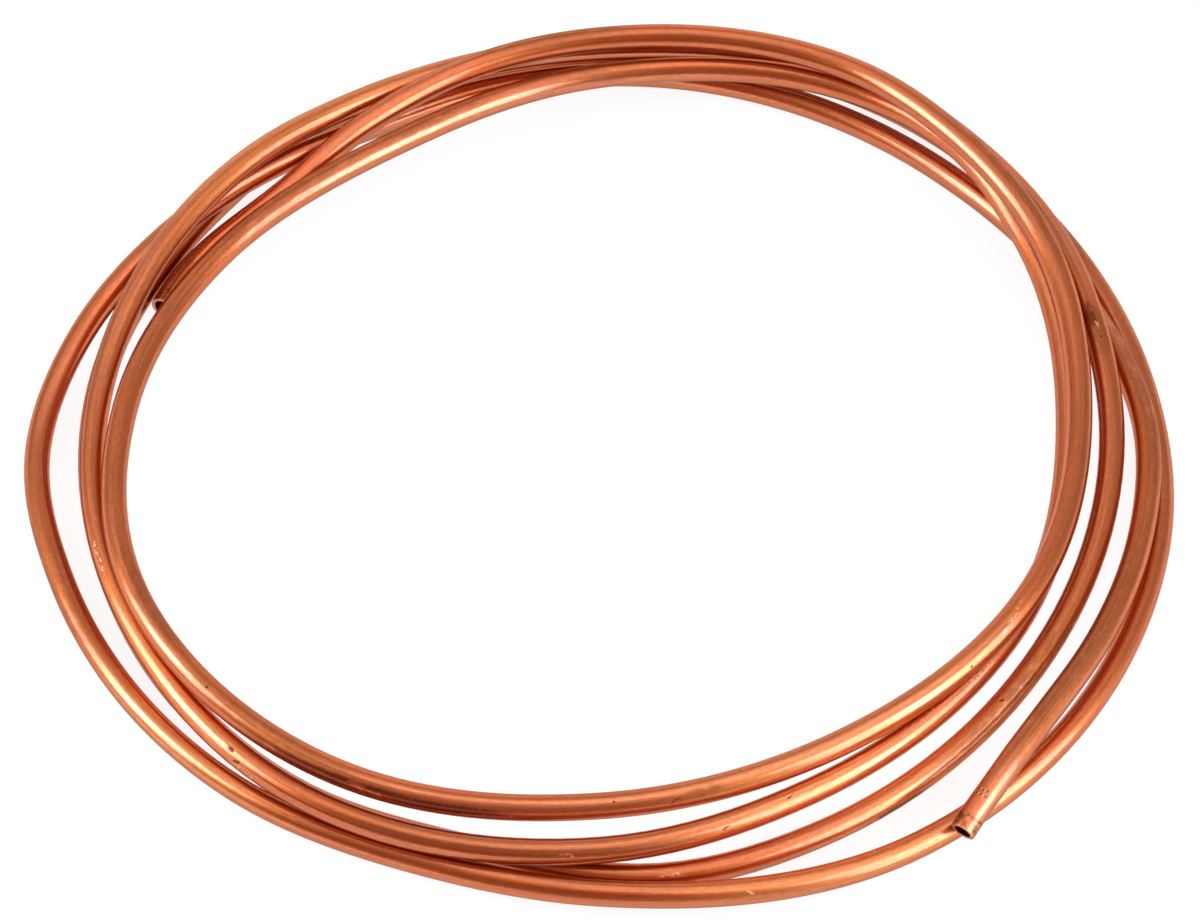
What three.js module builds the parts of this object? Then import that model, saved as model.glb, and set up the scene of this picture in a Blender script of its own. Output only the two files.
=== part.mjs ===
// A loose coil of soft copper tube: one hollow tube, about four and a half turns, cut square at both ends.
// It lies flat, as it would on a floor. Millimetres, +Z up, the floor at Z = 0.
// Seen from above, places round the coil are told like hours on a clock face, with twelve at +Y.

import * as THREE from 'three';

// ---- The tube ----
const TUBE_OUTER_DIAMETER = 8;
const TUBE_WALL = 1;

// ---- The coil ----
const COIL_MIDDLE_RADIUS = 157; // from the middle of the coil to the tube's centre, at lane 0
// A strand's pitch, sideways and upwards, is the tube's diameter and this clearance.
const STRAND_CLEARANCE = 0.4;

// ---- Facets ----
const OUTER_SIDES = 12;
const BORE_SIDES = 8;
const RINGS_PER_HOUR = 5;

// The tube's route, from its lower, inner end to its upper, outer end: hour, lane, layer.
// The hours count on from turn to turn. A lane is one pitch further out, and layer 0 lies on the floor.
const HOURS_PER_TURN = 12;
const ROUTE = [
  // First turn: the end lies on the floor, and the tube then climbs over everything else.
  [-2.25, -1.1, 0], [-2, -1.14, 0], [-1.5, -1.8, 0.55], [-1, -1.5, 1.45], [-0.5, -0.9, 2], [0, -0.35, 2.2],
  [1, 0.35, 2.5], [1.5, -0.1, 2.7], [2, -0.35, 2.45], [3, -1.25, 2.05], [4, -1.15, 2.05], [5, -1.4, 1.8],
  [6, -1.05, 1.5], [7, 0, 1.65], [8, 0, 2.05], [9, -1.35, 1.8], [10, -2.45, 1.45],
  // Second turn: the innermost at eleven, and then on top of the third and fourth turns.
  [11, -3, 1.45], [12, -1.3, 1.2], [13, 0.25, 1.45], [13.5, 0.25, 1.65], [14, -0.45, 1.3], [15, -1.6, 0.95],
  [16, -1.3, 0.95], [17.2, -0.55, 0.95], [18, 0.5, 1], [19, 1.15, 1.05], [20, 0.35, 1.05], [21, -0.25, 1.1],
  // Third turn: over the two turns that change places at ten, and down to the floor by five.
  [22, -0.65, 2], [22.5, -0.6, 1.9], [23, -0.35, 1.35], [24, 0.3, 1.05], [25, 1.3, 1.05], [25.6, 0.97, 1.03],
  [26, 0.6, 1.25], [26.5, 0.05, 1.6], [27, -0.05, 1.35], [28, 0.05, 0.75], [29.2, 0.7, 0.1], [29.8, 1, 0],
  [30.5, 0.2, 0], [31.1, 0.42, 0], [31.7, 0.25, 0], [32.4, -0.05, 0], [33.5, -0.05, 0], [34.3, -0.05, 0],
  // Fourth turn: the outermost, on the floor.
  [35, 0.6, 0], [36, 1, 0], [37, 1.45, 0], [38, 1.3, 0], [38.7, 1.5, 0], [39.5, 2.05, 0], [41, 2.65, 0],
  [42, 1.95, 0.45], [42.6, 1.3, 0.05], [43.3, 1.6, 0], [44.4, 1.7, 0], [45, 1.85, 0],
  // Last half turn: inwards at ten, under the others at one, and out across the fourth turn.
  [45.5, 1.05, 0.6], [46, 0, 1.05], [46.5, -0.6, 0.8], [47, -0.85, 0.3], [47.6, -0.35, 0.03],
  [48.2, -0.04, 0], [49.5, 0.05, 0], [50, 0.2, 0.25], [50.5, 0.6, 0.65], [51, 1.2, 1.03],
  [51.5, 1.45, 1.13], [52, 1.72, 1.32], [52.33, 2.02, 1.45], [52.53, 2.43, 1.46], [52.63, 2.73, 1.38],
  [52.71, 2.98, 1.2], [52.78, 3.2, 0.95], [52.84, 3.46, 0.74],
];

class CoilPath extends THREE.Curve {
  constructor(route) {
    super();
    const hours = route.map(([hour]) => hour);
    this.firstHour = hours[0];
    this.lastHour = hours[hours.length - 1];
    this.strandPitch = TUBE_OUTER_DIAMETER + STRAND_CLEARANCE;
    const lanesAndLayers = route.flatMap(([, lane, layer]) => [lane, layer]);
    this.lanesAndLayers = new THREE.CubicInterpolant(hours, lanesAndLayers, 2);
  }

  getPoint(t, target = new THREE.Vector3()) {
    const hour = THREE.MathUtils.lerp(this.firstHour, this.lastHour, t);
    const [lane, layer] = this.lanesAndLayers.evaluate(hour);
    const angle = (hour / HOURS_PER_TURN) * 2 * Math.PI;
    const radius = COIL_MIDDLE_RADIUS + lane * this.strandPitch;
    // Between two stations on the floor the smooth curve would swing a little below it.
    const height = Math.max(layer, 0) * this.strandPitch;
    return target.set(radius * Math.sin(angle), radius * Math.cos(angle), height);
  }

  // Rings stand at even steps of the clock, so that the facets of neighbouring strands line up.
  // The first and the last ring stand at the tube's ends.
  getUtoTmapping(u) {
    const step = this.firstStep + Math.round(u * this.stepCount);
    const hour = THREE.MathUtils.clamp(step / RINGS_PER_HOUR, this.firstHour, this.lastHour);
    return THREE.MathUtils.inverseLerp(this.firstHour, this.lastHour, hour);
  }

  get firstStep() {
    return Math.floor(this.firstHour * RINGS_PER_HOUR);
  }

  get stepCount() {
    return Math.ceil(this.lastHour * RINGS_PER_HOUR) - this.firstStep;
  }
}

// A polygon whose flats lie on the circle that it stands for, so diameter and wall are true across flats.
function roundPoints(diameter, sides) {
  const cornerRadius = diameter / 2 / Math.cos(Math.PI / sides);
  return Array.from({ length: sides }, (_, i) => {
    const angle = (i / sides) * 2 * Math.PI;
    return new THREE.Vector2(cornerRadius * Math.cos(angle), cornerRadius * Math.sin(angle));
  });
}

function tubeSection() {
  const section = new THREE.Shape(roundPoints(TUBE_OUTER_DIAMETER, OUTER_SIDES));
  const boreDiameter = TUBE_OUTER_DIAMETER - 2 * TUBE_WALL;
  section.holes.push(new THREE.Path(roundPoints(boreDiameter, BORE_SIDES)));
  return section;
}

function makeCopperTube() {
  const path = new CoilPath(ROUTE);
  const geometry = new THREE.ExtrudeGeometry(tubeSection(), { extrudePath: path, steps: path.stepCount });
  const copper = new THREE.MeshStandardMaterial({ color: 0xb8673f, roughness: 0.3, metalness: 1 });
  const tube = new THREE.Mesh(geometry, copper);
  tube.name = 'copper_tube';
  return tube;
}

// The origin is on the floor, under the middle of the coil's box.
function standOnOrigin(mesh) {
  mesh.geometry.computeBoundingBox();
  const { min, max } = mesh.geometry.boundingBox;
  mesh.position.set(-(min.x + max.x) / 2, -(min.y + max.y) / 2, -min.z);
}

const coil = new THREE.Group();
coil.name = 'copper_tube_coil';
const copperTube = makeCopperTube();
standOnOrigin(copperTube);
coil.add(copperTube);

export default coil;
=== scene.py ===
# %% [markdown]
# # A loose coil of soft copper tube
#
# Coiled copper tube is drawn, softened in a furnace and wound up, so it is one long hollow piece. Here it
# has been pulled open a little, and its turns cross over and under each other. The lesson sweeps one tube
# along that route with Geometry Nodes, gives it a copper that changes along its length, and lights it.
#
# The measured model is loaded first. What is made here keeps to its place and to its size.

# %% Load the measured model
import math
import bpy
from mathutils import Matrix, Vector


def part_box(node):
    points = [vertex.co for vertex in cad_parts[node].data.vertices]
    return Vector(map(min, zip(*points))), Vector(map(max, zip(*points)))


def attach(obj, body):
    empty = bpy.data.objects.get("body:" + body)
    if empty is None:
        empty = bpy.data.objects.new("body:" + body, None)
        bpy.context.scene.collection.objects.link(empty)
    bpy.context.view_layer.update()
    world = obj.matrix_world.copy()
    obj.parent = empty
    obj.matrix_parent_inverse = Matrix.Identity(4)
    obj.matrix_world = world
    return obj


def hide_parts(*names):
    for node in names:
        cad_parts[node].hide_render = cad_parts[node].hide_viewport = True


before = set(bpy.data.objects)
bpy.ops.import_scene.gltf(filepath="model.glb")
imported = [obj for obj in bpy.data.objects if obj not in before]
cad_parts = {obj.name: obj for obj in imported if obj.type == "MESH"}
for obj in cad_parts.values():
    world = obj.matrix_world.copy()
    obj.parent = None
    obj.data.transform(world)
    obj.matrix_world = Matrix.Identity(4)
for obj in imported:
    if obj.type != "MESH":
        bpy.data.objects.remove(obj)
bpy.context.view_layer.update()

from types import SimpleNamespace

import bpy
from mathutils import Matrix, Vector

BODY = "root"
measured_low, measured_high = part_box("copper_tube")

# %% [markdown]
# ## The sizes
#
# A tube is known by its outside diameter and its wall. The coil adds the radius of its middle turn and the
# pitch, which is how far the centres of two touching strands stand apart.

# %% Sizes of the tube and the coil, in metres
TUBE_OUTER_DIAMETER = 0.008
TUBE_WALL = 0.001
COIL_MIDDLE_RADIUS = 0.157
STRAND_CLEARANCE = 0.0004
STRAND_PITCH = TUBE_OUTER_DIAMETER + STRAND_CLEARANCE
HOURS_PER_TURN = 12
print("coil over its middle turn, in tube diameters:", round(2 * COIL_MIDDLE_RADIUS / TUBE_OUTER_DIAMETER))

# %% [markdown]
# ## The route
#
# No formula describes a coil that someone has pulled open, so the route is a short list of stations. Each one
# has an hour, as on a clock face seen from above, a lane and a layer. Hours count on from turn to turn. One
# lane is one pitch further out, and layer 0 lies on the floor. In these units the coil is an almost straight
# line, which is easy to read and to correct.

# %% Stations along the tube: hour, lane, layer
ROUTE = [
    # First turn: the end lies on the floor, and the tube then climbs over everything else.
    (-2.25, -1.1, 0), (-2, -1.14, 0), (-1.5, -1.8, 0.55), (-1, -1.5, 1.45), (-0.5, -0.9, 2), (0, -0.35, 2.2),
    (1, 0.35, 2.5), (1.5, -0.1, 2.7), (2, -0.35, 2.45), (3, -1.25, 2.05), (4, -1.15, 2.05), (5, -1.4, 1.8),
    (6, -1.05, 1.5), (7, 0, 1.65), (8, 0, 2.05), (9, -1.35, 1.8), (10, -2.45, 1.45),
    # Second turn: the innermost at eleven, and then on top of the third and fourth turns.
    (11, -3, 1.45), (12, -1.3, 1.2), (13, 0.25, 1.45), (13.5, 0.25, 1.65), (14, -0.45, 1.3), (15, -1.6, 0.95),
    (16, -1.3, 0.95), (17.2, -0.55, 0.95), (18, 0.5, 1), (19, 1.15, 1.05), (20, 0.35, 1.05), (21, -0.25, 1.1),
    # Third turn: over the two turns that change places at ten, and down to the floor by six.
    (22, -0.65, 2), (22.5, -0.6, 1.9), (23, -0.35, 1.35), (24, 0.3, 1.05), (25, 1.3, 1.05),
    (25.6, 0.97, 1.03), (26, 0.6, 1.25), (26.5, 0.05, 1.6), (27, -0.05, 1.35), (28, 0.05, 0.75),
    (29.2, 0.7, 0.1), (29.8, 1, 0),
    (30.5, 0.2, 0), (31.1, 0.42, 0), (31.7, 0.25, 0), (32.4, -0.05, 0), (33.5, -0.05, 0), (34.3, -0.05, 0),
    # Fourth turn: the outermost, on the floor but for one small hump at six.
    (35, 0.6, 0), (36, 1, 0), (37, 1.45, 0), (38, 1.3, 0), (38.7, 1.5, 0), (39.5, 2.05, 0), (41, 2.65, 0),
    (42, 1.95, 0.45), (42.6, 1.3, 0.05), (43.3, 1.6, 0), (44.4, 1.7, 0), (45, 1.85, 0),
    # Last turn, cut short: inwards at ten, under the others at one, and out across the fourth turn.
    (45.5, 1.05, 0.6), (46, 0, 1.05), (46.5, -0.6, 0.8), (47, -0.85, 0.3), (47.6, -0.35, 0.03),
    (48.2, -0.04, 0), (49.5, 0.05, 0), (50, 0.2, 0.25), (50.5, 0.6, 0.65), (51, 1.2, 1.03),
    (51.5, 1.45, 1.13), (52, 1.72, 1.32), (52.33, 2.02, 1.45), (52.53, 2.43, 1.46), (52.63, 2.73, 1.38),
    (52.71, 2.98, 1.2), (52.78, 3.2, 0.95), (52.84, 3.46, 0.74),
]
print("stations:", len(ROUTE), "and turns:", round((ROUTE[-1][0] - ROUTE[0][0]) / HOURS_PER_TURN, 2))

# %% [markdown]
# ## Node maths written as Python
#
# Both the tube's shape and its copper are node trees. A wrapped socket lets their maths be written as plain
# Python, so `1 - mask` adds a Math node by itself. Every other node comes from one method.

# %% A wrapped socket and its operators
class Wire:
    """One output socket, with the operators that the trees below use."""

    def __init__(self, bench, socket):
        self.bench = bench
        self.socket = socket

    def _maths(self, operation, *values):
        return self.bench.node("ShaderNodeMath", {"operation": operation}, dict(enumerate(values)))

    def __add__(self, other):
        return self._maths("ADD", self, other)

    def __radd__(self, other):
        return self._maths("ADD", other, self)

    def __sub__(self, other):
        return self._maths("SUBTRACT", self, other)

    def __rsub__(self, other):
        return self._maths("SUBTRACT", other, self)

    def __mul__(self, other):
        return self._maths("MULTIPLY", self, other)

    def __rmul__(self, other):
        return self._maths("MULTIPLY", other, self)

    def __truediv__(self, other):
        return self._maths("DIVIDE", self, other)

    def __rtruediv__(self, other):
        return self._maths("DIVIDE", other, self)

    def __pow__(self, other):
        return self._maths("POWER", self, other)

    def __gt__(self, other):
        return self._maths("GREATER_THAN", self, other)

    def __lt__(self, other):
        return self._maths("LESS_THAN", self, other)

    def __abs__(self):
        return self._maths("ABSOLUTE", self)

    def at_least(self, low):
        return self._maths("MAXIMUM", self, low)

    def at_most(self, high):
        return self._maths("MINIMUM", self, high)

    def sine(self):
        return self._maths("SINE", self)

    def cosine(self):
        return self._maths("COSINE", self)

    def rounded(self):
        return self._maths("ROUND", self)

    def between(self, low, high):
        """0 up to low, 1 from high on, and a smooth rise between them."""
        return self.bench.node(
            "ShaderNodeMapRange", {"interpolation_type": "SMOOTHSTEP"},
            {"Value": self, "From Min": low, "From Max": high})


print("a wire can be:", [name for name in vars(Wire) if not name.startswith("_")])

# %% One method that adds any node
class Bench:
    """A node tree with one method that adds any node."""

    def __init__(self, tree):
        self.tree = tree

    def node(self, kind, settings=None, sockets=None, output=0):
        """Adds a node, makes its settings, then fills or links its sockets, by name or number."""
        node = self.tree.nodes.new(kind)
        for name, value in (settings or {}).items():
            setattr(node, name, value)
        for name, value in (sockets or {}).items():
            self.feed(node.inputs[name], value)
        return Wire(self, node.outputs[output])

    def feed(self, socket, value):
        if isinstance(value, Wire):
            self.tree.links.new(value.socket, socket)
        else:
            socket.default_value = value

    def also(self, wire, output):
        """Another output of the node that a wire comes from."""
        return Wire(self, wire.socket.node.outputs[output])

    def vector(self, x, y, z):
        return self.node("ShaderNodeCombineXYZ", None, {0: x, 1: y, 2: z})

    def parts(self, vector):
        x = self.node("ShaderNodeSeparateXYZ", None, {0: vector})
        return x, self.also(x, 1), self.also(x, 2)

    def arrow(self, operation, *values, **sockets):
        """Vector maths: an operation on vectors."""
        given = dict(enumerate(values))
        given.update({name.capitalize(): value for name, value in sockets.items()})
        return self.node("ShaderNodeVectorMath", {"operation": operation}, given)

    def blend(self, amount, first, second, way="MIX"):
        """Mixes two colours."""
        mix = self.node("ShaderNodeMix", {"data_type": "RGBA", "blend_type": way},
                        {"Factor": amount, 6: first, 7: second})
        return self.also(mix, 2)


print("a bench has:", [name for name in vars(Bench) if not name.startswith("_")])

# %% [markdown]
# ## The line that the tube follows
#
# A Bezier curve through the stations is smooth and stays close to them. Its handles point along the mean of
# the two slopes that meet at a station, and they reach a third of the way to the next one, so that the hour
# runs evenly between stations. The measured model has the same curve.

# %% Draw the route as a Bezier curve in hours, lanes and layers
def slopes_of(stations):
    """How lane and layer change for each hour, at each station."""
    steps = [(Vector(b) - Vector(a)) / (b[0] - a[0]) for a, b in zip(stations, stations[1:])]
    middles = [(before + after) / 2 for before, after in zip(steps, steps[1:])]
    return [steps[0], *middles, steps[-1]]


def draw_route(stations):
    curve = bpy.data.curves.new("route", "CURVE")
    curve.dimensions = "3D"
    curve.resolution_u = 32
    spline = curve.splines.new("BEZIER")
    spline.bezier_points.add(len(stations) - 1)
    hours = [station[0] for station in stations]
    gaps = [after - before for before, after in zip(hours, hours[1:])]
    for number, (point, station, slope) in enumerate(
            zip(spline.bezier_points, stations, slopes_of(stations))):
        before = gaps[max(number - 1, 0)]
        after = gaps[min(number, len(gaps) - 1)]
        point.co = station
        point.handle_left = Vector(station) - slope * before / 3
        point.handle_right = Vector(station) + slope * after / 3
    drawn = bpy.data.objects.new("route", curve)
    bpy.context.scene.collection.objects.link(drawn)
    return drawn


route = draw_route(ROUTE)
print("route: a curve of", len(route.data.splines[0].bezier_points), "points")

# %% [markdown]
# ## The tube
#
# Curve to Mesh could sweep a circle, but a tube needs a bore and a rim as well. So the tree starts from a
# flat grid. Its rows run up the outside from one end to the other, step in at the rim, and come back down the
# bore. Its columns run round the tube. The last row and the last column land on the first ones, and merging
# them closes the shape.
#
# Each size is an input of the tree with a name of its own, so that the tube can be changed in the modifier
# without opening the tree. Lengths are in metres. The inputs come first here, and then one function for each
# step: bend the line, count the rows, choose the radius, set the rings, and close.

# %% The inputs of the tube's tree
TUBE_INPUTS = [
    ("Route", "Object", None),
    ("Hours Per Turn", "Float", HOURS_PER_TURN),
    ("Middle Radius", "Float", COIL_MIDDLE_RADIUS),
    ("Strand Pitch", "Float", STRAND_PITCH),
    ("Outside Radius", "Float", TUBE_OUTER_DIAMETER / 2),
    ("Wall", "Float", TUBE_WALL),
    ("Rings Outside", "Int", 1300),
    ("Rings In The Bore", "Int", 400),
    ("Sides", "Int", 40),
    ("Crowding At The Ends", "Float", 0.97),
    ("Rim Length", "Float", 0.0012),
    ("Rim Pushed In", "Float", 0.00008),
    ("Burr In The Bore", "Float", 0.00035),
    ("Out Of Round", "Float", 0.00005),
    ("Seed", "Float", 4.0),
    ("Copper", "Material", None),
]


def add_tube_inputs(tree):
    for name, kind, value in TUBE_INPUTS:
        socket = tree.interface.new_socket(name, in_out="INPUT", socket_type="NodeSocket" + kind)
        if value is not None:
            socket.default_value = value


print("inputs of the tube's tree:", len(TUBE_INPUTS))

# %% [markdown]
# ### Bend the line
#
# Hours become an angle, lanes a radius and layers a height, which turns the almost straight line of the route
# into the coil. Each point keeps its hour, because marks are placed by the hour later on.

# %% Bend the route into the coil
FULL_TURN = 2 * math.pi
CENTRE_LINE_POINTS = 4000


def store(bench, geometry, name, value, data_type="FLOAT", domain="POINT"):
    """Writes a value on each point or edge, under a name that later nodes can read."""
    return bench.node(
        "GeometryNodeStoreNamedAttribute", {"data_type": data_type, "domain": domain},
        {"Geometry": geometry, "Name": name, "Value": value})


def bend_into_coil(bench, asked):
    """The line that runs through the middle of the tube."""
    flat = bench.node("GeometryNodeObjectInfo", None, {"Object": asked["Route"]}, output="Geometry")
    fine = bench.node("GeometryNodeResampleCurve", None, {"Curve": flat, "Count": CENTRE_LINE_POINTS})
    hour, lane, layer = bench.parts(bench.node("GeometryNodeInputPosition"))
    fine = store(bench, fine, "hour", hour)
    turned = hour / asked["Hours Per Turn"] * FULL_TURN
    radius = asked["Middle Radius"] + lane * asked["Strand Pitch"]
    height = layer.at_least(0) * asked["Strand Pitch"] + asked["Outside Radius"]
    centre = bench.vector(radius * turned.sine(), radius * turned.cosine(), height)
    bent = bench.node("GeometryNodeSetPosition", None, {"Geometry": fine, "Position": centre})
    return bench.node("GeometryNodeSetCurveNormal", {"mode": "Z_UP"}, {"Curve": bent})


turns = (ROUTE[-1][0] - ROUTE[0][0]) / HOURS_PER_TURN
about_length = turns * FULL_TURN * COIL_MIDDLE_RADIUS
print("centre line: a point about every", round(1000 * about_length / CENTRE_LINE_POINTS, 1), "mm")

# %% [markdown]
# ### Count the rows
#
# A row's number says where it lies: the outside takes the first rows from one end to the other, and the bore
# takes the rest on the way back. Rows crowd together near both ends, where the rim needs them.

# %% Run the grid's rows up the outside and back down the bore
def grid_of_rings(bench, asked, length):
    """The flat grid, how far along the tube and round it each point is, and whether it is in the bore."""
    rings_out = asked["Rings Outside"]
    rings_in = asked["Rings In The Bore"]
    last_row = rings_out + rings_in + 2
    grid = bench.node(
        "GeometryNodeMeshGrid", None,
        {"Size X": 1.0, "Size Y": 1.0, "Vertices X": last_row + 1, "Vertices Y": asked["Sides"] + 1})
    across, round_it, _ = bench.parts(bench.node("GeometryNodeInputPosition"))
    angle = (round_it + 0.5) * FULL_TURN
    row = ((across + 0.5) * last_row).rounded()
    row = row - (row > last_row - 0.5) * last_row
    in_bore = row > rings_out + 0.5
    up = (row / rings_out).at_most(1)
    back = ((row - rings_out - 1) / rings_in).at_least(0)
    share = up - back
    crowded = share - asked["Crowding At The Ends"] * (share * FULL_TURN).sine() / FULL_TURN
    return grid, crowded * length, angle, in_bore


tube_sizes = {name: value for name, kind, value in TUBE_INPUTS}
print("grid:", tube_sizes["Rings Outside"] + tube_sizes["Rings In The Bore"] + 3, "rows of",
      tube_sizes["Sides"] + 1, "points")

# %% [markdown]
# ### Choose the radius
#
# A tube cutter's wheel pushes the rim in a little and leaves a ragged burr in the bore. Winding leaves the
# tube slightly out of round as well, by an amount that wanders along it, and that is what makes a highlight
# on real tube waver.

# %% The radius of each point
BURR_NOISE_SCALE = 1.6
WANDERS_PER_METRE = 9
TWISTS_PER_METRE = 2
TWIST = 6  # radians, where its noise is 1


def radius_of(bench, asked, along, length, angle, in_bore):
    """Outside or bore, rolled in at the rims and a little out of round."""
    from_end = along.at_most(length - along)
    rim = (1 - from_end / asked["Rim Length"]).at_least(0) ** 2
    outside = asked["Outside Radius"] - rim * asked["Rim Pushed In"]
    ragged = bench.node(
        "ShaderNodeTexNoise", None,
        {"Vector": bench.vector(angle.sine(), angle.cosine(), asked["Seed"]), "Scale": BURR_NOISE_SCALE,
         "Detail": 2.0})
    burr = rim * ragged.between(0.35, 0.65) * asked["Burr In The Bore"]
    bore = asked["Outside Radius"] - asked["Wall"] - burr
    tube_radius = outside + in_bore * (bore - outside)

    wander = bench.node(
        "ShaderNodeTexNoise", {"noise_dimensions": "1D"},
        {"W": along * WANDERS_PER_METRE + asked["Seed"], "Scale": 1.0, "Detail": 2.0})
    twist = bench.node(
        "ShaderNodeTexNoise", {"noise_dimensions": "1D"},
        {"W": along * TWISTS_PER_METRE + asked["Seed"] * 3, "Scale": 1.0, "Detail": 1.0})
    oval = ((angle + twist * TWIST) * 2).cosine() * wander * asked["Out Of Round"]
    return tube_radius - asked["Out Of Round"] + oval


print("bore at its narrowest, mm:", round(2000 * (
    tube_sizes["Outside Radius"] - tube_sizes["Wall"] - tube_sizes["Burr In The Bore"]), 2))

# %% [markdown]
# ### Set the rings
#
# Each ring stands square to the line. Its angle 0 is the top of the tube, and a quarter turn on is the outer
# side. Sample Curve gives the place, the way ahead and the way inwards at any length along the line, and the
# cross product of the last two points up.

# %% Set the rings square to the line
def set_on_line(bench, line, along, angle, reach):
    """Each point's place on the coiled tube, and its hour."""
    hour_at = bench.node("GeometryNodeInputNamedAttribute", {"data_type": "FLOAT"}, {"Name": "hour"})
    hour = bench.node(
        "GeometryNodeSampleCurve", {"mode": "LENGTH", "data_type": "FLOAT"},
        {"Curves": line, "Value": hour_at, "Length": along})
    place = bench.also(hour, "Position")
    ahead = bench.also(hour, "Tangent")
    inwards = bench.also(hour, "Normal")
    upwards = bench.arrow("CROSS_PRODUCT", inwards, ahead)
    offset = bench.arrow(
        "ADD", bench.arrow("SCALE", upwards, scale=angle.cosine() * reach),
        bench.arrow("SCALE", inwards, scale=angle.sine() * reach * -1))
    return bench.arrow("ADD", place, offset), hour


print("radius of a ring, mm:", round(1000 * tube_sizes["Outside Radius"], 1))

# %% [markdown]
# ### Close the tube
#
# The copper reads where a point lies on the tube as if it were pulled straight, and its hour. With them its
# drawn lines follow the tube, and a mark can be put in one place. Both are worked out from the flat grid, so
# they are stored before the grid is bent. The edges of the cut are sharp, and everything else is smooth.

# %% The whole tree of the tube
MERGE_DISTANCE = 1e-6
SHARPER_THAN = math.radians(50)


def tube_tree():
    tree = bpy.data.node_groups.new("coiled_tube", "GeometryNodeTree")
    tree.interface.new_socket("Geometry", in_out="INPUT", socket_type="NodeSocketGeometry")
    add_tube_inputs(tree)
    tree.interface.new_socket("Geometry", in_out="OUTPUT", socket_type="NodeSocketGeometry")
    bench = Bench(tree)
    given = tree.nodes.new("NodeGroupInput")
    asked = {socket.name: Wire(bench, socket) for socket in given.outputs if socket.name}

    line = bend_into_coil(bench, asked)
    length = bench.node("GeometryNodeCurveLength", None, {"Curve": line})
    grid, along, angle, in_bore = grid_of_rings(bench, asked, length)
    reach = radius_of(bench, asked, along, length, angle, in_bore)
    place, hour = set_on_line(bench, line, along, angle, reach)

    straight = bench.vector(along, angle.sine() * reach, angle.cosine() * reach)
    grid = store(bench, grid, "straight", straight, data_type="FLOAT_VECTOR")
    grid = store(bench, grid, "hour", hour)
    bent = bench.node("GeometryNodeSetPosition", None, {"Geometry": grid, "Position": place})
    closed = bench.node(
        "GeometryNodeMergeByDistance", None, {"Geometry": bent, "Distance": MERGE_DISTANCE})
    smooth = bench.node("GeometryNodeSetShadeSmooth", {"domain": "FACE"}, {"Geometry": closed})
    edge_angle = bench.node("GeometryNodeInputMeshEdgeAngle")
    smooth = store(bench, smooth, "sharp_edge", edge_angle > SHARPER_THAN, data_type="BOOLEAN", domain="EDGE")
    real = bench.node("GeometryNodeRealizeInstances", None, {"Geometry": smooth})
    dressed = bench.node("GeometryNodeSetMaterial", None, {"Geometry": real, "Material": asked["Copper"]})
    result = tree.nodes.new("NodeGroupOutput")
    bench.feed(result.inputs["Geometry"], dressed)
    print("nodes in the tube's tree:", len(tree.nodes))
    return tree


coiled_tube = tube_tree()

# %% [markdown]
# ### Keep it as a mesh
#
# A modifier stays live, and other programs can't read it. So the tree runs once on an empty mesh, and its
# result is kept as a plain mesh. A modifier knows its inputs by an identifier and not by their names, so the
# names are looked up first.

# %% Run the tree and keep a plain mesh
def make_with_nodes(name, tree, values):
    """Runs a node tree on an empty mesh and keeps the result as a plain mesh."""
    holder = bpy.data.objects.new(name + "_holder", bpy.data.meshes.new(name + "_holder"))
    bpy.context.scene.collection.objects.link(holder)
    modifier = holder.modifiers.new(tree.name, "NODES")
    modifier.node_group = tree
    identifiers = {item.name: item.identifier for item in tree.interface.items_tree
                   if item.item_type == "SOCKET" and item.in_out == "INPUT"}
    for socket_name, value in values.items():
        modifier[identifiers[socket_name]] = value
    evaluated = holder.evaluated_get(bpy.context.evaluated_depsgraph_get())
    mesh = bpy.data.meshes.new_from_object(evaluated)
    mesh.name = name
    bpy.data.objects.remove(holder)
    piece = bpy.data.objects.new(name, mesh)
    bpy.context.scene.collection.objects.link(piece)
    return piece


copper = bpy.data.materials.new("copper")
tube = make_with_nodes("coiled_copper_tube", coiled_tube, {"Route": route, "Copper": copper})
bpy.data.objects.remove(route)
print("tube:", len(tube.data.vertices), "points,", len(tube.data.polygons), "faces")

# %% [markdown]
# ## Onto the measured model
#
# The route is drawn round the middle of the coil, but the model stands on the middle of its own box. The
# tube's mesh is moved by the difference, so its object stays at the origin.

# %% Set the tube in the measured model's place
def box_of(mesh):
    points = [vertex.co for vertex in mesh.vertices]
    low = Vector([min(point[axis] for point in points) for axis in range(3)])
    high = Vector([max(point[axis] for point in points) for axis in range(3)])
    return low, high


tube_low, tube_high = box_of(tube.data)
coil_middle = (measured_low + measured_high) / 2 - (tube_low + tube_high) / 2
tube.data.transform(Matrix.Translation(coil_middle))
print("middle of the coil, mm:", [round(1000 * value, 2) for value in coil_middle])

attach(tube, BODY)
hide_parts("copper_tube")

# %% [markdown]
# ## The places on the copper
#
# A mark on a tube sits at an hour and at an angle round the tube. The chart below lays the surface out flat
# in millimetres: x runs along the tube, and y runs round it from the top, with the outer side positive. A
# little noise in the chart gives every mark a ragged edge.

# %% Chart of the surface
MILLIMETRES_PER_HOUR = 82
TUBE_RADIUS_IN_MILLIMETRES = 1000 * TUBE_OUTER_DIAMETER / 2
RAGGED_BY = (1.6, 1.2, 0)  # millimetres
RAGGED_NOISE_SCALE = 1.1


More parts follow.
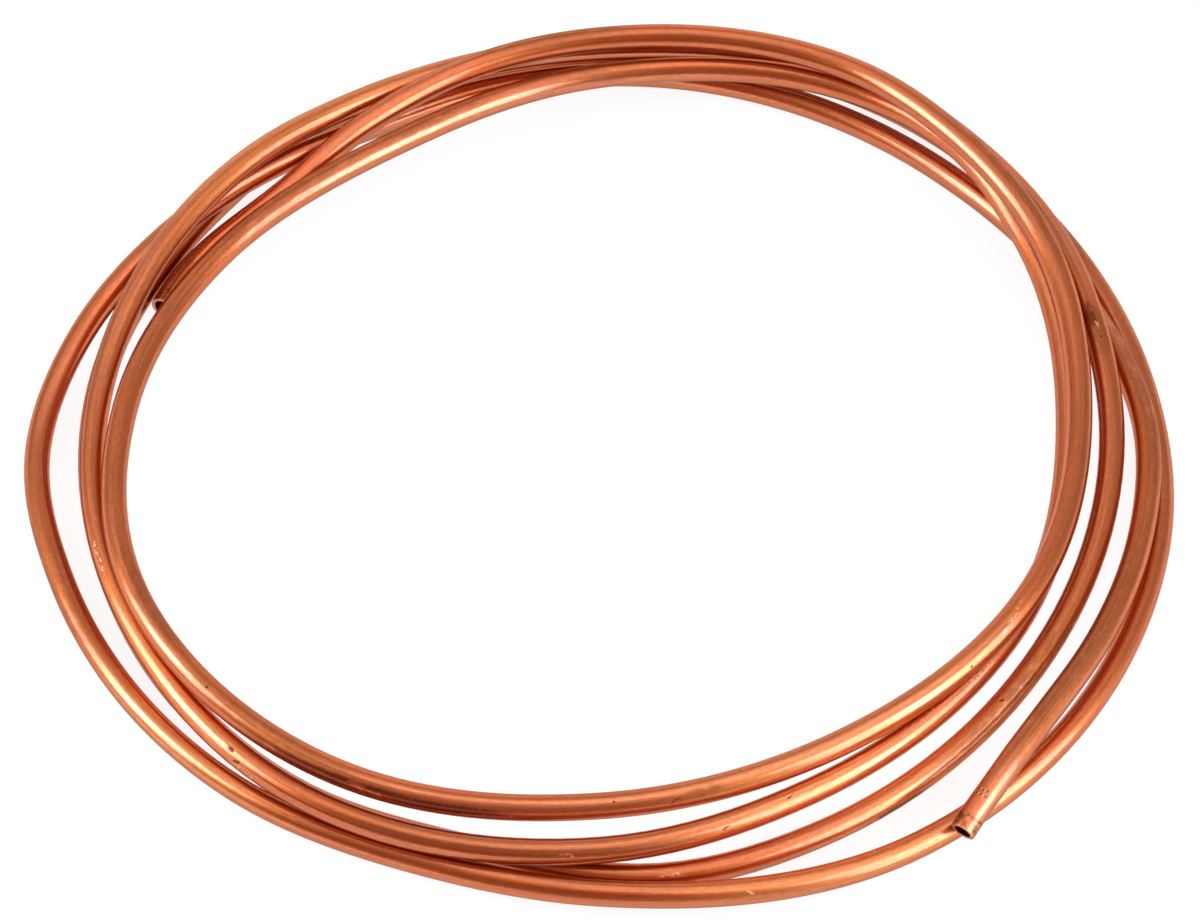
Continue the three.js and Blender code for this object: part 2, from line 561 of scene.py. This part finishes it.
def chart_of(bench, hour, outward, upward):
    angle = bench.node("ShaderNodeMath", {"operation": "ARCTAN2"}, {0: outward, 1: upward})
    flat = bench.vector(hour * MILLIMETRES_PER_HOUR, angle * TUBE_RADIUS_IN_MILLIMETRES, 0.0)
    ragged = bench.node(
        "ShaderNodeTexNoise", None, {"Vector": flat, "Scale": RAGGED_NOISE_SCALE, "Detail": 2.0},
        output="Color")
    half = (RAGGED_BY[0] / 2, RAGGED_BY[1] / 2, 0)
    return bench.arrow("MULTIPLY_ADD", ragged, RAGGED_BY, bench.arrow("SUBTRACT", flat, half))


print("chart, mm:", round(MILLIMETRES_PER_HOUR * (ROUTE[-1][0] - ROUTE[0][0])), "long and",
      round(FULL_TURN * TUBE_RADIUS_IN_MILLIMETRES, 1), "round")

# %% [markdown]
# ### Spots on the chart
#
# Moving and shrinking the chart round one mark makes that mark a round spot of radius 1. Only a slanted mark
# has to be turned as well, by a Mapping node, which is slower. The nearest mark wins, so one fade at the end
# serves them all, and each mark takes three small nodes. Painting would take an image of the whole tube.

# %% Spots on the chart
SPOT_EDGE = (0.55, 1.15)  # a spot fades out between these shares of its radius


def distance_from(bench, chart, hour, degrees, length, width, slant):
    """How far each point is from the middle of an oval mark, where 1 is the oval's edge."""
    middle = (hour * MILLIMETRES_PER_HOUR, math.radians(degrees) * TUBE_RADIUS_IN_MILLIMETRES, 0)
    if slant:
        around = bench.node("ShaderNodeMapping", {"vector_type": "TEXTURE"}, {
            "Vector": chart, "Location": middle, "Rotation": (0, 0, math.radians(slant)),
            "Scale": (length / 2, width / 2, 1)})
    else:
        shrink = (2 / length, 2 / width, 0)
        offset = (-middle[0] * shrink[0], -middle[1] * shrink[1], 0)
        around = bench.arrow("MULTIPLY_ADD", chart, shrink, offset)
    return bench.also(bench.arrow("LENGTH", around), "Value")


def spots_on(bench, chart, marks):
    """1 inside any of the marks, and fading to 0 outside them."""
    nearest = distance_from(bench, chart, *marks[0])
    for mark in marks[1:]:
        nearest = nearest.at_most(distance_from(bench, chart, *mark))
    return 1 - nearest.between(*SPOT_EDGE)


print("a spot is whole out to", SPOT_EDGE[0], "of its radius and gone at", SPOT_EDGE[1])

# %% [markdown]
# ## What happened to the tube in places
#
# Turns that slid on each other left rubbed rows, hard edges left nicks and scratches, and hands and air
# dulled some lengths. Each list holds one kind of mark. Two lists are painted light: the sheen patches are
# paler copper painted where highlights spread, and the dark reflections are dark bands painted where a strand
# would mirror the shaded side of a neighbour.

# %% Marks: hour, angle in degrees, length and width in millimetres, and slant in degrees
NICKS = [
    (19.35, 30, 3.0, 1.6, -10), (19.31, 62, 3.2, 1.2, 20), (7.56, 20, 1.3, 0.8, 0), (17.56, 48, 3.2, 0.7, 15),
    (5.72, 52, 4.2, 0.9, 28), (5.95, 25, 1.1, 0.8, 0), (28.38, 8, 1.6, 0.9, 0), (26.63, 4, 1.1, 0.9, 0),
    (17.30, 20, 3.4, 0.6, 25), (9.59, 44, 1.6, 1.0, 0), (30.9, 10, 1.2, 0.6, 20),
]
SCRATCHES = [
    (41.53, 44, 3.0, 0.7, -35), (29.74, 34, 1.3, 1.0, 0), (29.79, 38, 1.1, 0.8, 0), (19.40, 44, 2.2, 0.6, 30),
]
RUBS = [
    (29.76, 36, 9, 1.5, 0), (5.16, 108, 8, 2.2, 0), (16.36, 26, 16, 1.6, -4), (16.7, 2, 20, 1.8, 0),
    (4.16, 30, 22, 2.0, 12), (27.94, 80, 4, 1.6, 0), (18.11, 56, 7, 1.8, 0), (6.3, 80, 9, 1.2, 0),
    (20.35, 40, 16, 2.4, 0), (19.28, 84, 10, 2.6, 0), (27.8, -60, 18, 1.6, 0), (26.56, 2, 5, 1.2, 0),
    (9.5, 50, 6, 2.0, 0),
]
DULL_PATCHES = [
    (7.3, 20, 80, 6, 0), (26.60, 4, 25, 8, 0), (52.05, -6, 104, 12, 0), (50.9, 30, 90, 8, 0),
    (8.0, -10, 60, 7, 0), (1.9, 30, 80, 8, 0), (37.8, 20, 90, 8, 0), (44.4, 40, 80, 8, 0),
    (24.2, 40, 60, 7, 0), (5.6, 40, 14, 4, 0), (28.3, 50, 90, 9, 0), (11.9, 30, 70, 9, 0),
    (23.9, 20, 60, 8, 0), (-0.2, 20, 60, 8, 0), (35.9, 30, 60, 8, 0), (10.45, 10, 100, 13, 0),
    (11.2, 10, 70, 12, 0),
]
ALL_ROUND = 60  # wide enough to reach round the whole tube
# Painted sheen: paler copper painted where the softboxes' highlights spread along some strands.
PAINTED_SHEEN_PATCHES = [
    (4.95, 0, 140, ALL_ROUND, 0), (17.1, 0, 110, ALL_ROUND, 0), (28.7, 0, 105, ALL_ROUND, 0),
    (41.15, 0, 120, ALL_ROUND, 0), (22.7, 0, 120, ALL_ROUND, 0), (43.55, 0, 80, ALL_ROUND, 0),
    (19.75, 0, 90, ALL_ROUND, 0),
]
# Painted reflections: dark bands where a strand would mirror the shaded side of a neighbour.
PAINTED_DARK_REFLECTIONS = [(6.98, 66, 60, 3.7, 1), (6.6, 68, 50, 3.0, 0), (28.93, 96, 24, 3.2, 0), (26.52, -12, 12, 3.4, 0)]
print("marks:", len(NICKS), "nicks,", len(SCRATCHES), "scratches,", len(RUBS), "rubs,",
      len(DULL_PATCHES), "dull and", len(PAINTED_SHEEN_PATCHES), "clean patches, and", len(PAINTED_DARK_REFLECTIONS), "stains")

# %% [markdown]
# ## The copper
#
# Soft copper leaves the furnace a clear salmon orange and dulls to brown where air and hands reach it. The
# die it was drawn through leaves fine lines along it, and winding adds speckle. Metal under a thin clear coat
# has both the broad orange sheen and the sharper white light on top, which metal alone would tint orange.
#
# The colours are painted over each other, the broad changes first and the small marks last, as they came
# onto the real tube.

# %% Colours of the copper, in linear red, green and blue
FRESH = (0.73, 0.142, 0.022, 1)
ROSY = (0.71, 0.160, 0.038, 1)
# Painted sheen: the paler copper for where highlights spread.
PAINTED_SHEEN_COLOUR = (0.84, 0.235, 0.050, 1)
BROWN = (0.44, 0.100, 0.017, 1)
DULL = (0.36, 0.085, 0.016, 1)
RUBBED = (0.80, 0.36, 0.20, 1)
# Painted reflection of a neighbour's shaded side.
DARK_REFLECTION_COLOUR = (0.20, 0.030, 0.008, 1)
SMUDGE = (0.17, 0.060, 0.020, 1)
GRIME = (0.085, 0.022, 0.010, 1)
# Painted shade on the sides of the tube, between neighbouring strands.
SIDE_SHADE_COLOUR = (0.42, 0.125, 0.045, 1)
print("fresh copper is", round(FRESH[0] / DULL[0], 1), "times as red as dull copper")

# %% [markdown]
# ### The grain
#
# Noise that is stretched along the tube makes the drawn lines. It reads the straightened tube, so the lines
# follow every bend. A flat noise in the object's own axes would cut straight across them. Ten such noises,
# from lines a hand long to dots under a millimetre, give the pattern and break up the marks.

# %% Grain, from long drawn lines to fine specks
def grain(bench, straight, along, round_it, detail, seed):
    """Noise on the straightened tube, with its grains for each metre along the tube and round it."""
    place = bench.arrow("MULTIPLY_ADD", straight, (along, round_it, round_it), (seed, seed * 1.7, seed * 0.6))
    return bench.node("ShaderNodeTexNoise", None, {"Vector": place, "Scale": 1.0, "Detail": detail})


# Each grain: how many there are in a metre along the tube, and in a metre round it, its detail, and its seed.
GRAINS = {
    "long_lines": (5, 800, 2, 9),
    "lines": (28, 1300, 2, 1),
    "hair_lines": (90, 3600, 1, 2),
    "speckle": (420, 1900, 2, 3),
    "mottle": (170, 420, 3, 4),
    "clouds": (16, 110, 3, 5),
    "rosy_clouds": (9, 80, 2, 6),
    "dots": (900, 900, 1, 3),
    "specks": (330, 560, 3, 7),
    "smears": (760, 520, 3, 8),
}


def grains_of(bench, straight):
    return SimpleNamespace(**{name: grain(bench, straight, *sizes) for name, sizes in GRAINS.items()})


print("grains:", ", ".join(GRAINS))

# %% [markdown]
# ### Wear
#
# A clean oval looks painted on, so most marks are broken up by one of the grains. Faint rubs and dark specks
# are scattered over the rest of the tube by the grains alone.

# %% Masks of the worn places, and of painted sheen and painted dark reflections
def wear_of(bench, chart, grains):
    """Masks that are 1 where the tube is worn in that way, or where sheen or dark reflections are painted."""
    rubs = spots_on(bench, chart, RUBS) * grains.dots.between(0.50, 0.60)
    return SimpleNamespace(
        nicks=spots_on(bench, chart, NICKS),
        specks=grains.specks.between(0.765, 0.80),
        rubs=rubs.at_least(spots_on(bench, chart, SCRATCHES)),
        stray_rubs=grains.clouds.between(0.58, 0.70) * grains.speckle.between(0.56, 0.68) * 0.25,
        dull=spots_on(bench, chart, DULL_PATCHES) * grains.mottle.between(0.20, 0.56),
        clean=spots_on(bench, chart, PAINTED_SHEEN_PATCHES),
        stains=spots_on(bench, chart, PAINTED_DARK_REFLECTIONS) * grains.mottle.between(0.30, 0.44))


print("spots in the masks:", sum(map(len, (NICKS, SCRATCHES, RUBS, DULL_PATCHES, PAINTED_SHEEN_PATCHES, PAINTED_DARK_REFLECTIONS))))

# %% [markdown]
# ### The ends
#
# The cutter leaves bare metal on the cut and a smudged band beside it, darker on the inner side. The upper
# end also has two short rows of dents, each with a bright ridge beside every dent, from the tool that held
# the tube while it was cut.

# %% Masks of the two ends
TUBE_LENGTH = max(item.vector.x for item in tube.data.attributes["straight"].data)
CUT_DEPTH = (0.00005, 0.00030)  # metres from the cut, as are the next three
SMUDGE_START = (0.0004, 0.0010)
SMUDGE_END = (0.0044, 0.0056)
TOOL_ROWS = (0.0117, 0.0132)
TOOL_ROW_HALF_WIDTH = (0.00015, 0.00055)
TOOL_SIDE = -1.9  # millimetres round the tube, as are the next two
TOOL_REACH = (2.6, 4.0)
INNER_SIDE = (-4.4, -1.5)
DENTS_BEAT = 3.9  # radians for each millimetre round the tube
ROWS_BEAT = 800  # radians for each metre along it, so that the two rows are out of step


def ends_of(along, round_the_tube, grains):
    """Masks that are 1 where the ends are smudged, dented, ridged or cut."""
    from_upper_end = TUBE_LENGTH - along
    from_end = along.at_most(from_upper_end)
    band = from_end.between(*SMUDGE_START) * (1 - from_end.between(*SMUDGE_END))
    inner_side = 1 - round_the_tube.between(*INNER_SIDE)
    smears = grains.smears + grains.speckle * 0.25 + inner_side * 0.25
    held = 1 - abs(round_the_tube - TOOL_SIDE).between(*TOOL_REACH)
    dents = ridges = 0.0
    for row in TOOL_ROWS:
        beat = (round_the_tube * DENTS_BEAT + row * ROWS_BEAT).sine()
        on_row = (1 - abs(from_upper_end - row).between(*TOOL_ROW_HALF_WIDTH)) * held
        dents = dents + on_row * beat.between(-0.2, 0.5)
        ridges = ridges + on_row * (1 - beat.between(-0.8, -0.3))
    return SimpleNamespace(
        smudge=band * smears.between(0.56, 0.72) * 0.9,
        dents=dents,
        ridges=ridges,
        cut=(1 - from_end.between(*CUT_DEPTH)) * grains.mottle.between(0.35, 0.60))


print("tube length, m:", round(TUBE_LENGTH, 3))

# %% [markdown]
# ### Colour
#
# One list holds the coats of colour in the order in which they are painted. Each one has a mask, which says
# where it goes and how strongly, and its colour. Dull lengths show the drawn lines only half as clearly. The
# sides of the tube, which sit against their neighbours, get a darker, muted colour as painted shade between
# the strands. Paler copper is painted where highlights spread, as painted sheen, and dark bands where a
# strand would mirror a neighbour's shaded side, as painted reflections.

# %% Coats of colour, the first one at the bottom
SIDES_START = (4.4, 7.6)  # millimetres round the tube from its top


def marks_of(wear, ends):
    """The masks of both kinds, with those that act alike joined."""
    marks = SimpleNamespace(**vars(wear), **vars(ends))
    marks.rubbed = wear.rubs.at_least(wear.stray_rubs).at_least(ends.ridges)
    marks.dark = wear.nicks.at_least(wear.specks).at_least(ends.dents * 0.85)
    return marks


def colour_of(bench, round_the_tube, grains, marks):
    streaks = 1 - marks.dull * 0.5
    coats = [
        (grains.clouds.between(0.48, 0.66) * 0.45, BROWN),
        # Painted sheen where highlights spread.
        (marks.clean * 0.75, PAINTED_SHEEN_COLOUR),
        (marks.dull * 0.85, DULL),
        (grains.long_lines.between(0.52, 0.62) * streaks * 0.45, BROWN),
        ((1 - grains.long_lines.between(0.38, 0.46)) * streaks * 0.30, RUBBED),
        (grains.lines.between(0.52, 0.64) * streaks * 0.40, BROWN),
        (grains.hair_lines.between(0.50, 0.66) * 0.35, BROWN),
        (grains.speckle.between(0.45, 0.65) * 0.30, BROWN),
        ((1 - grains.speckle.between(0.32, 0.48)) * 0.14, RUBBED),
        # Painted shade: the sides that sit against neighbours are darker and duller.
        (abs(round_the_tube).between(*SIDES_START) * 0.6, SIDE_SHADE_COLOUR),
        # Painted reflections of neighbours' shaded sides.
        (marks.stains * 0.92, DARK_REFLECTION_COLOUR),
        (marks.smudge * 0.88, SMUDGE),
        ((marks.rubbed * 0.9).at_least(marks.cut * 0.8), RUBBED),
        (marks.dark * 0.85, GRIME),
    ]
    colour = bench.blend(grains.rosy_clouds.between(0.45, 0.62), FRESH, ROSY)
    for mask, coat in coats:
        colour = bench.blend(mask, colour, coat)
    return colour


print("the sides are muted from", round(math.degrees(SIDES_START[0] / TUBE_RADIUS_IN_MILLIMETRES)), "degrees")

# %% [markdown]
# ### Gloss and relief
#
# Clean drawn copper is a satin mirror. Whatever dulls or rubs it makes it rougher, and thins the clear coat
# that carries the white light. The relief's heights are in micrometres. They are larger than on a real tube,
# so that its lines still break up a highlight in a picture this small.

# %% Roughness, coat and relief
MICROMETRE = 1e-6
SMOOTHEST, ROUGHEST = 0.08, 0.6


def roughness_of(grains, marks):
    roughness = (0.155 + grains.lines * 0.09 + grains.long_lines * 0.08 + grains.speckle * 0.08
                 + grains.mottle * 0.05 + marks.clean * 0.03 + marks.dull * 0.12 + marks.rubbed * 0.15
                 + marks.dark * 0.2 + marks.cut * 0.25)
    return roughness.at_least(SMOOTHEST).at_most(ROUGHEST)


def coat_of(marks):
    coat = (0.24 - marks.dull * 0.08 - marks.rubbed * 0.1 - marks.dark * 0.2 - marks.stains * 0.1
            - marks.smudge * 0.15 - marks.cut * 0.1)
    return coat.at_least(0)


def relief_of(bench, grains, marks):
    height = (grains.long_lines * 80 + grains.lines * 50 + grains.hair_lines * 11 + grains.speckle * 12
              + grains.mottle * 40 - marks.nicks * 60 - marks.dents * 90 + marks.rubbed * 25
              - marks.smudge * 20)
    return bench.node("ShaderNodeBump", None, {"Strength": 1.0, "Distance": MICROMETRE, "Height": height})


print("roughness: from", SMOOTHEST, "to", ROUGHEST)

# %% Put the copper together
COAT_ROUGHNESS = 0.12
COAT_IOR = 2.7
EDGE_TINT = (0.62, 0.52, 0.48, 1)  # what a strand's edges reflect, where metal would turn white


def make_copper(material):
    material.use_nodes = True
    bench = Bench(material.node_tree)
    straight = bench.node("ShaderNodeAttribute", {"attribute_name": "straight"}, output="Vector")
    hour = bench.node("ShaderNodeAttribute", {"attribute_name": "hour"}, output="Fac")
    along, outward, upward = bench.parts(straight)
    chart = chart_of(bench, hour, outward, upward)
    round_the_tube = bench.parts(chart)[1]
    grains = grains_of(bench, straight)
    marks = marks_of(wear_of(bench, chart, grains), ends_of(along, round_the_tube, grains))

    shader = material.node_tree.nodes["Principled BSDF"]
    bench.feed(shader.inputs["Base Color"], colour_of(bench, round_the_tube, grains, marks))
    bench.feed(shader.inputs["Roughness"], roughness_of(grains, marks))
    bench.feed(shader.inputs["Coat Weight"], coat_of(marks))
    bench.feed(shader.inputs["Normal"], relief_of(bench, grains, marks))
    shader.inputs["Metallic"].default_value = 1.0
    shader.inputs["Specular Tint"].default_value = EDGE_TINT
    shader.inputs["Coat Roughness"].default_value = COAT_ROUGHNESS
    shader.inputs["Coat IOR"].default_value = COAT_IOR


make_copper(copper)
print("copper nodes:", len(copper.node_tree.nodes))

# %% [markdown]
# ## The floor
#
# A level studio table, lit from below as well as from above, which is how small goods are shown on pure
# white. Its own glow does most of the work, so only soft, faint shadows are left. A white floor lit by lamps
# alone would need so much light that the copper would wash out.

# %% The lit table
COIL_CENTRE = Vector((coil_middle.x, coil_middle.y, 0))
TABLE_HALF_WIDTH = 4.0
TABLE_COLOUR = (0.18, 0.18, 0.175, 1)
TABLE_GLOW = 0.87


def make_table():
    half = TABLE_HALF_WIDTH
    mesh = bpy.data.meshes.new("lit_table")
    corners = [(-half, -half, 0), (half, -half, 0), (half, half, 0), (-half, half, 0)]
    mesh.from_pydata(corners, [], [(0, 1, 2, 3)])
    table = bpy.data.objects.new("lit_table", mesh)
    bpy.context.scene.collection.objects.link(table)
    material = bpy.data.materials.new("milky_glass")
    material.use_nodes = True
    shader = material.node_tree.nodes["Principled BSDF"]
    shader.inputs["Base Color"].default_value = TABLE_COLOUR
    shader.inputs["Emission Color"].default_value = (1, 1, 1, 1)
    shader.inputs["Emission Strength"].default_value = TABLE_GLOW
    shader.inputs["Roughness"].default_value = 0.9
    shader.inputs["Specular IOR Level"].default_value = 0.1
    mesh.materials.append(material)


make_table()
print("table:", 2 * TABLE_HALF_WIDTH, "m wide")

# %% [markdown]
# ## The light
#
# Metal shows little but what it reflects, so the light is made as a room for the tube to mirror. Two tall
# softboxes stand low at the left and at the front right. Each one is a wide cloth with a brighter middle,
# which gives the long highlights a soft edge and a pale core. The room round them is dim and warm, with a
# glow on the ceiling over each softbox, a pale back wall, and darkness behind the camera. That darkness is
# what makes the brown side of each strand.

# %% Softboxes
SOFTBOX_DISTANCE = 2.4
MIDDLE_IN_FRONT = 0.01
MIDDLE_WIDTH = 0.38
MIDDLE_HEIGHT_SHARE = 0.7
MIDDLE_BRIGHTNESS_SHARE = 1.3
LAMP_COLOUR = (0.89, 1.13, 1.40)


def towards(azimuth, elevation):
    """A direction as seen from the coil. Azimuth 0 is the camera's side and 90 is +X."""
    turn = math.radians(azimuth)
    rise = math.radians(elevation)
    return Vector((math.sin(turn) * math.cos(rise), -math.cos(turn) * math.cos(rise), math.sin(rise)))


def make_lamp(name, azimuth, elevation, distance, width, height, brightness):
    """A lit panel that faces the coil. A brightness of 1 is that of white paper in the room's light."""
    light = bpy.data.lights.new(name, "AREA")
    light.shape = "RECTANGLE"
    light.size = width
    light.size_y = height
    light.energy = brightness * math.pi * width * height
    light.color = LAMP_COLOUR
    lamp = bpy.data.objects.new(name, light)
    direction = towards(azimuth, elevation)
    lamp.location = COIL_CENTRE + direction * distance
    lamp.rotation_mode = "QUATERNION"
    lamp.rotation_quaternion = direction.to_track_quat("Z", "Y")
    bpy.context.scene.collection.objects.link(lamp)


def make_softbox(name, azimuth, elevation, width, height, brightness):
    """A softbox: its wide cloth, and just in front of that the brighter middle where the bulb is."""
    make_lamp(name + "_cloth", azimuth, elevation, SOFTBOX_DISTANCE, width, height, brightness)
    make_lamp(name + "_middle", azimuth, elevation, SOFTBOX_DISTANCE - MIDDLE_IN_FRONT, MIDDLE_WIDTH,
              MIDDLE_HEIGHT_SHARE * height, MIDDLE_BRIGHTNESS_SHARE * brightness)


make_softbox("softbox_left", azimuth=-88, elevation=29, width=1.40, height=1.80, brightness=3.8)
make_softbox("softbox_right", azimuth=62, elevation=22, width=2.00, height=2.25, brightness=3.3)

# %% [markdown]
# ### The room
#
# The room is the world's background: one dim colour, with glows laid over it. A glow is strongest in its own
# direction and fades with the angle from it. Blender can aim rays at the background, as it does at lamps.
# These glows are so wide that rays would find them by themselves, and without the aiming a picture would take
# less time, but the script leaves the aiming as Blender sets it.

# %% Room
ROOM = (0.49, 0.44, 0.39, 1)
OVERHEAD = (1.52, 1.44, 1.36, 1)
CEILING_LEFT = (1.15, 1.09, 1.03, 1)
CEILING_RIGHT = (1.66, 1.59, 1.52, 1)
BACK_WALL = (1.10, 1.05, 1.00, 1)
BEHIND_CAMERA = (0.34, 0.17, 0.11, 1)
# Each glow: azimuth, elevation, the cosine of the angle where it ends, its strength, and its colour.
GLOWS = [
    (108, 83, 0.82, 1, OVERHEAD),
    (-122, 57, 0.87, 1, CEILING_LEFT),
    (75, 68, 0.88, 1, CEILING_RIGHT),
    (180, 5, 0.7, 1, BACK_WALL),
    (-29, 17, 0.32, 1.15, BEHIND_CAMERA),
]


def make_room():
    room = bpy.data.worlds.new("studio")
    bpy.context.scene.world = room
    room.use_nodes = True
    bench = Bench(room.node_tree)
    background = room.node_tree.nodes["Background"]
    direction = bench.node("ShaderNodeTexCoord", output="Generated")

    colour = ROOM
    for azimuth, elevation, ends_at, strength, glow in GLOWS:
        turned = bench.arrow("DOT_PRODUCT", direction, tuple(towards(azimuth, elevation)))
        cosine = bench.also(turned, "Value")
        colour = bench.blend(cosine.between(ends_at, 1.0) * strength, colour, glow)
    bench.feed(background.inputs["Color"], colour)


make_room()
bpy.context.scene.view_settings.view_transform = "Standard"
print("glows:", len(GLOWS))

# %% [markdown]
# ## The camera
#
# The camera looks down on the coil at 50 degrees from 2.24 m away, so the coil is an oval and its near side
# is only a little larger than its far side. The lens follows from how many pixels a metre takes up at the
# coil's centre. A small shift of the lens puts that centre in its place in the frame, where turning the
# camera would skew the oval.

# %% Camera
CAMERA_ELEVATION = math.radians(50)
CAMERA_DISTANCE = 2.24
CAMERA_SCALE = 3250  # pixels for each metre at the coil's centre
FRAME_WIDTH = 1200
FRAME_HEIGHT = 922
COIL_CENTRE_IN_FRAME = (600, 455)


def make_camera():
    lens = bpy.data.cameras.new("camera")
    lens.sensor_width = 36
    lens.lens = lens.sensor_width * CAMERA_SCALE * CAMERA_DISTANCE / FRAME_WIDTH
    lens.shift_x = (FRAME_WIDTH / 2 - COIL_CENTRE_IN_FRAME[0]) / FRAME_WIDTH
    lens.shift_y = (COIL_CENTRE_IN_FRAME[1] - FRAME_HEIGHT / 2) / FRAME_WIDTH
    camera = bpy.data.objects.new("camera", lens)
    back = Vector((0, -math.cos(CAMERA_ELEVATION), math.sin(CAMERA_ELEVATION)))
    camera.location = COIL_CENTRE + back * CAMERA_DISTANCE
    camera.rotation_mode = "QUATERNION"
    camera.rotation_quaternion = back.to_track_quat("Z", "Y")
    bpy.context.scene.collection.objects.link(camera)
    bpy.context.scene.camera = camera
    return camera


camera = make_camera()
print("camera: lens", round(camera.data.lens), "mm, at", [round(value, 2) for value in camera.location])

# %% [markdown]
# ## The size of the finished tube
#
# The measured model is a tube with flat facets, and the finished tube is round. It lies just inside the
# facets' corners, so its box should come out the same or a few tenths of a millimetre smaller.
